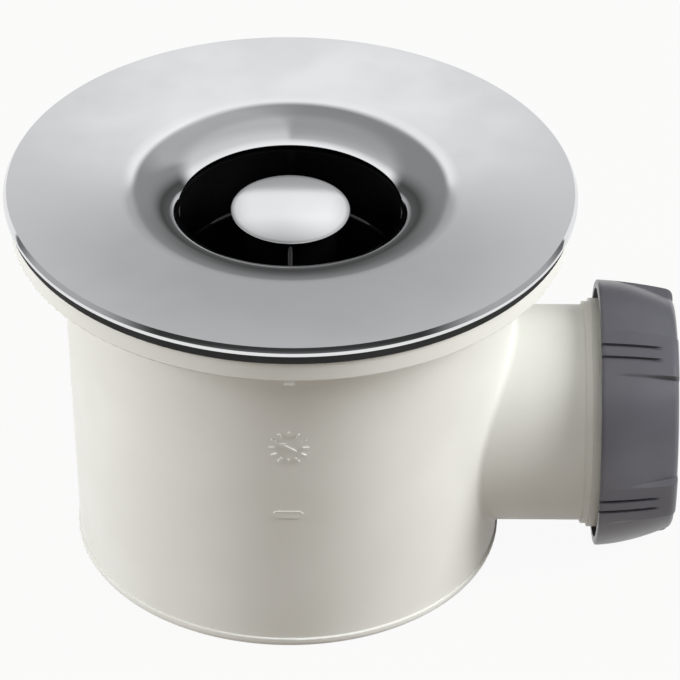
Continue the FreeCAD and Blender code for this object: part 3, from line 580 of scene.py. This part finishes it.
def dial_tree(sizes, material):
    """Ticks in a ring and an arrow across the middle, flat, with z out of the wall."""
    tree, size = new_tree("date_dial", sizes)
    ring = add(tree, "GeometryNodeMeshCircle", inputs={"Vertices": size["Ticks"], "Radius": size["Ring"]})
    bar = add(tree, "ShaderNodeCombineXYZ", inputs={
        "X": size["Width"], "Y": size["Length"], "Z": size["Thick"]})
    tick = add(tree, "GeometryNodeMeshCube", inputs={"Size": bar.outputs["Vector"]})
    spoke = add(tree, "FunctionNodeAlignRotationToVector", {"axis": "Y"}, {
        "Vector": add(tree, "GeometryNodeInputPosition").outputs["Position"]})
    ticks = add(tree, "GeometryNodeInstanceOnPoints", inputs={
        "Points": ring.outputs["Mesh"], "Instance": tick.outputs["Mesh"],
        "Rotation": spoke.outputs["Rotation"]})
    shaft = add(tree, "ShaderNodeCombineXYZ", inputs={
        "X": size["Arrow width"], "Y": size["Arrow length"], "Z": size["Thick"]})
    needle = add(tree, "GeometryNodeMeshCube", inputs={"Size": shaft.outputs["Vector"]})
    wide = add(tree, "ShaderNodeMath", {"operation": "MULTIPLY"}, {
        0: size["Arrow width"], 1: HEAD_RADIUS_SHARE}).outputs["Value"]
    head = add(tree, "GeometryNodeMeshCylinder", inputs={
        "Vertices": 3, "Radius": wide, "Depth": size["Thick"]})
    end = add(tree, "ShaderNodeMath", {"operation": "MULTIPLY"}, {
        0: size["Arrow length"], 1: HEAD_PLACE_SHARE}).outputs["Value"]
    tip = add(tree, "ShaderNodeCombineXYZ", inputs={"Y": end})
    # The three-sided head has a corner along +X, so a quarter turn points it along the needle.
    head_on = add(tree, "GeometryNodeTransform", inputs={
        "Geometry": head.outputs["Mesh"], "Translation": tip.outputs["Vector"],
        "Rotation": (0, 0, FULL_TURN / 4)})
    arrow = add(tree, "GeometryNodeJoinGeometry", inputs={
        "Geometry": [needle.outputs["Mesh"], head_on.outputs["Geometry"]]})
    turn = add(tree, "ShaderNodeCombineXYZ", inputs={"Z": size["Arrow turn"]})
    arrow_set = add(tree, "GeometryNodeTransform", inputs={
        "Geometry": arrow.outputs["Geometry"], "Rotation": turn.outputs["Vector"]})
    both = add(tree, "GeometryNodeJoinGeometry", inputs={
        "Geometry": [ticks.outputs["Instances"], arrow_set.outputs["Geometry"]]})
    lift = add(tree, "ShaderNodeCombineXYZ", inputs={"Z": size["Out"]})
    raised = add(tree, "GeometryNodeTransform", inputs={
        "Geometry": both.outputs["Geometry"], "Translation": lift.outputs["Vector"]})
    return close_tree(tree, raised.outputs["Geometry"], material)


def date_dial():
    sizes = {"Ring": DIAL_RADIUS, "Ticks": DIAL_TICKS, "Length": TICK_LENGTH, "Width": TICK_WIDTH,
             "Thick": DIAL_RAISED + SUNK, "Out": (DIAL_RAISED - SUNK) / 2, "Arrow length": ARROW_LENGTH,
             "Arrow width": ARROW_WIDTH, "Arrow turn": ARROW_TURN}
    mesh = grown("date_dial", dial_tree(sizes, FINISHES["cream_plastic"]), sizes)
    on_front_wall(mesh, DIAL_HEIGHT)
    placed(mesh, "date_dial", "drain")


def bare_mark():
    """A low bare pad with rounded ends on the front wall."""
    width, height = MARK_SIZE
    rim = []
    for side in (1, -1):
        for step in range(MARK_END_STEPS + 1):
            angle = side * (FULL_TURN / 4) * (1 - 2 * step / MARK_END_STEPS)
            x = side * (width - height) / 2 + side * math.cos(angle) * height / 2
            rim.append((x, math.sin(angle) * height / 2))
    count = len(rim)
    corners = [(x, y, z) for z in (-SUNK, MARK_RAISED) for x, y in rim]
    faces = [range(count), range(count, 2 * count)]
    faces += [(i, (i + 1) % count, count + (i + 1) % count, count + i) for i in range(count)]
    mesh = bpy.data.meshes.new("bare_mark")
    mesh.from_pydata(corners, [], faces)
    mesh.materials.append(FINISHES["cream_plastic"])
    on_front_wall(mesh, MARK_HEIGHT)
    placed(mesh, "bare_mark", "drain")


date_dial()
bare_mark()


# The studio: a white floor, a soft surround, a lamp at each side and a weaker one high up at each side.
# Gloss doesn't show the lamps, so what the chrome mirrors is the surround and the floor.
FLOOR_SIDE = 8.0
FLOOR_DROP = 0.2 * MM
FLOOR_SEEN_WHITE = 0.94
FLOOR_SHADE = "#978D83"
# How bright the surround is: places and the level at each. Behind the object a place is the sine of the
# height above the horizon. Low down both sides are alike, and high up the right one is lighter. A bright
# strip is added in the middle, full to the first of its half widths and gone at the second.
BACK_LEFT = [(0.0, 0.12), (0.26, 0.07), (0.42, 0.2), (0.52, 0.27), (0.7, 0.28), (1.0, 0.36)]
BACK_RIGHT = [
    (0.0, 0.12), (0.26, 0.07), (0.42, 0.24), (0.5, 0.29), (0.57, 0.3), (0.64, 0.47), (0.7, 0.48),
    (1.0, 0.42)]
STRIP = [(0.48, 0.0), (0.515, 0.15), (0.538, 0.16), (0.545, 0.33), (0.553, 0.72), (0.62, 0.72), (0.7, 0.0)]
STRIP_HALF = (0.04, 0.11)
# Before and beside the object a share of the depth is added to the height, so the levels rise to the front:
# grey low down, then dark, then a bright band, and above it lighter on the right than on the left.
FRONT_LOW = [(0.0, 0.24), (0.1, 0.2), (0.19, 0.04), (0.34, 0.04), (0.4, 1.05), (0.5, 1.0)]
FRONT_LEFT = FRONT_LOW + [(0.66, 0.52), (0.84, 0.42), (1.0, 0.38)]
FRONT_RIGHT = FRONT_LOW + [(0.66, 0.74), (0.82, 0.68), (1.0, 0.55)]
FRONT_LEAN = 0.4
# Where left passes into right, and where the front passes into the back.
LEFT_TO_RIGHT = (-0.02, 0.06)
FRONT_TO_BACK = (0.3, 0.62)
# Far to either side the front is never darker than this.
SIDE_LEVEL = 0.46
SIDE_FROM_TO = (0.7, 0.97)
# Lamp light is a little cooler than the light from the floor.
LAMP_TINT = (0.95, 0.98, 1.0)
# Each lamp's place, what it is aimed at, its width and height, and its watts.
LAMPS = {
    "left_lamp": ((-0.89, -0.08, 0.34), (0, 0, 0.04), (0.35, 0.5), 6.5),
    "right_lamp": ((0.86, -0.1, 0.54), (0.03, 0, 0.04), (0.35, 0.5), 9.2),
    "high_left_lamp": ((-0.42, -0.42, 1.0), (0, 0, 0.04), (0.3, 0.3), 0.6),
    "high_right_lamp": ((0.46, -0.4, 1.0), (0.02, 0, 0.04), (0.3, 0.3), 0.9),
}
# The camera: the height of the rim that its place is measured from, its distance and elevation from there,
# how far it stands aside, its turns, and its focal length in pixels of the picture.
RIM_HEIGHT = 83.0 * MM
CAMERA_DISTANCE = 1099.77 * MM
CAMERA_ELEVATION = math.radians(33.05)
CAMERA_ASIDE = -0.65 * MM
CAMERA_PITCH = math.radians(34.65)
CAMERA_YAW = math.radians(0.68)
CAMERA_ROLL = math.radians(0.82)
FOCAL_PIXELS = 5500
PICTURE_PIXELS = 680
SENSOR_WIDTH = 36.0


def white_floor():
    # Matt white paper: white to the eye and in reflections, with a trace of the object's shadow.
    material = bpy.data.materials.new("white_studio_floor")
    material.use_nodes = True
    tree = material.node_tree
    tree.nodes.clear()
    ray = add(tree, "ShaderNodeLightPath").outputs
    bent = add(tree, "ShaderNodeMath", {"operation": "MAXIMUM"}, {
        0: ray["Is Glossy Ray"], 1: ray["Is Transmission Ray"]}).outputs["Value"]
    seen = add(tree, "ShaderNodeMath", {"operation": "MAXIMUM"}, {
        0: ray["Is Camera Ray"], 1: bent}).outputs["Value"]
    share = add(tree, "ShaderNodeMath", {"operation": "MULTIPLY"}, {
        0: seen, 1: FLOOR_SEEN_WHITE}).outputs["Value"]
    lit = add(tree, "ShaderNodeBsdfDiffuse", inputs={"Color": linear(FLOOR_SHADE)})
    white = add(tree, "ShaderNodeEmission", inputs={"Color": (1, 1, 1, 1), "Strength": 1.0})
    mixed = add(tree, "ShaderNodeMixShader", inputs={
        "Fac": share, 1: lit.outputs["BSDF"], 2: white.outputs["Emission"]})
    add(tree, "ShaderNodeOutputMaterial", inputs={"Surface": mixed.outputs["Shader"]})
    mesh = bpy.data.meshes.new("floor")
    half = FLOOR_SIDE / 2
    corners = [(-half, -half, 0), (half, -half, 0), (half, half, 0), (-half, half, 0)]
    mesh.from_pydata(corners, [], [(0, 1, 2, 3)])
    mesh.materials.append(material)
    floor = bpy.data.objects.new("floor", mesh)
    floor.location.z = -FLOOR_DROP
    bpy.context.scene.collection.objects.link(floor)


def soft_surround():
    world = bpy.data.worlds.new("soft_surround")
    bpy.context.scene.world = world
    world.use_nodes = True
    tree = world.node_tree
    tree.nodes.clear()
    way = add(tree, "ShaderNodeTexCoord").outputs["Generated"]
    part = add(tree, "ShaderNodeSeparateXYZ", inputs={"Vector": way}).outputs
    leant = add(tree, "ShaderNodeMath", {"operation": "MULTIPLY_ADD"}, {
        0: part["Y"], 1: FRONT_LEAN, 2: part["Z"]}).outputs["Value"]
    left, right, strip, front_left, front_right = [
        add(tree, "ShaderNodeValToRGB", {
            "stops": [(place, (level, level, level, 1)) for place, level in stops]}, {
            "Fac": height}).outputs["Color"]
        for height, stops in ((part["Z"], BACK_LEFT), (part["Z"], BACK_RIGHT), (part["Z"], STRIP),
                              (leant, FRONT_LEFT), (leant, FRONT_RIGHT))]
    aside = add(tree, "ShaderNodeMapRange", {"interpolation_type": "SMOOTHSTEP"}, {
        "Value": part["X"], "From Min": LEFT_TO_RIGHT[0], "From Max": LEFT_TO_RIGHT[1]})
    behind = add(tree, "ShaderNodeMixRGB", inputs={
        "Fac": aside.outputs["Result"], "Color1": left, "Color2": right})
    before = add(tree, "ShaderNodeMixRGB", inputs={
        "Fac": aside.outputs["Result"], "Color1": front_left, "Color2": front_right})
    off = add(tree, "ShaderNodeMath", {"operation": "ABSOLUTE"}, {0: part["X"]}).outputs["Value"]
    far_aside = add(tree, "ShaderNodeMapRange", {"interpolation_type": "SMOOTHSTEP"}, {
        "Value": off, "From Min": SIDE_FROM_TO[0], "From Max": SIDE_FROM_TO[1]})
    sided = add(tree, "ShaderNodeMixRGB", {"blend_type": "LIGHTEN"}, {
        "Fac": far_aside.outputs["Result"], "Color1": before.outputs["Color"],
        "Color2": (SIDE_LEVEL, SIDE_LEVEL, SIDE_LEVEL, 1)})
    middle = add(tree, "ShaderNodeMapRange", {"interpolation_type": "SMOOTHSTEP"}, {
        "Value": off, "From Min": STRIP_HALF[0], "From Max": STRIP_HALF[1], "To Min": 1.0, "To Max": 0.0})
    stripped = add(tree, "ShaderNodeMixRGB", {"blend_type": "ADD"}, {
        "Fac": middle.outputs["Result"], "Color1": behind.outputs["Color"], "Color2": strip})
    share = add(tree, "ShaderNodeMapRange", {"interpolation_type": "SMOOTHSTEP"}, {
        "Value": part["Y"], "From Min": FRONT_TO_BACK[0], "From Max": FRONT_TO_BACK[1]})
    level = add(tree, "ShaderNodeMixRGB", inputs={
        "Fac": share.outputs["Result"], "Color1": sided.outputs["Color"],
        "Color2": stripped.outputs["Color"]})
    light = add(tree, "ShaderNodeBackground", inputs={"Color": level.outputs["Color"], "Strength": 1.0})
    add(tree, "ShaderNodeOutputWorld", inputs={"Surface": light.outputs["Background"]})


def soft_lamp(name, place, aim, size, watts):
    lamp = bpy.data.lights.new(name, "AREA")
    lamp.shape = "RECTANGLE"
    lamp.size, lamp.size_y = size
    lamp.energy = watts
    lamp.color = LAMP_TINT
    thing = bpy.data.objects.new(name, lamp)
    thing.location = place
    thing.rotation_euler = (Vector(aim) - Vector(place)).to_track_quat("-Z", "Y").to_euler()
    thing.visible_camera = False
    thing.visible_glossy = False
    bpy.context.scene.collection.objects.link(thing)


def photo_camera():
    """The camera at the place and angle that the photograph was taken from, worked out from its outlines."""
    place = Vector((CAMERA_ASIDE, -CAMERA_DISTANCE * math.cos(CAMERA_ELEVATION),
                    RIM_HEIGHT + CAMERA_DISTANCE * math.sin(CAMERA_ELEVATION)))
    forward = Vector((math.sin(CAMERA_YAW) * math.cos(CAMERA_PITCH),
                      math.cos(CAMERA_YAW) * math.cos(CAMERA_PITCH), -math.sin(CAMERA_PITCH)))
    level = forward.cross(Vector((0, 0, 1))).normalized()
    upright = level.cross(forward)
    right = level * math.cos(CAMERA_ROLL) + upright * math.sin(CAMERA_ROLL)
    up = upright * math.cos(CAMERA_ROLL) - level * math.sin(CAMERA_ROLL)
    data = bpy.data.cameras.new("photo_camera")
    data.sensor_width = SENSOR_WIDTH
    data.lens = SENSOR_WIDTH * FOCAL_PIXELS / PICTURE_PIXELS
    data.clip_start = 0.05
    data.clip_end = 20.0
    camera = bpy.data.objects.new("photo_camera", data)
    turn = Matrix((right, up, -forward)).transposed().to_4x4()
    camera.matrix_world = Matrix.Translation(place) @ turn
    bpy.context.scene.collection.objects.link(camera)
    bpy.context.scene.camera = camera


white_floor()
soft_surround()
for lamp_name, lamp_setting in LAMPS.items():
    soft_lamp(lamp_name, *lamp_setting)
photo_camera()
bpy.context.scene.view_settings.view_transform = "Standard"
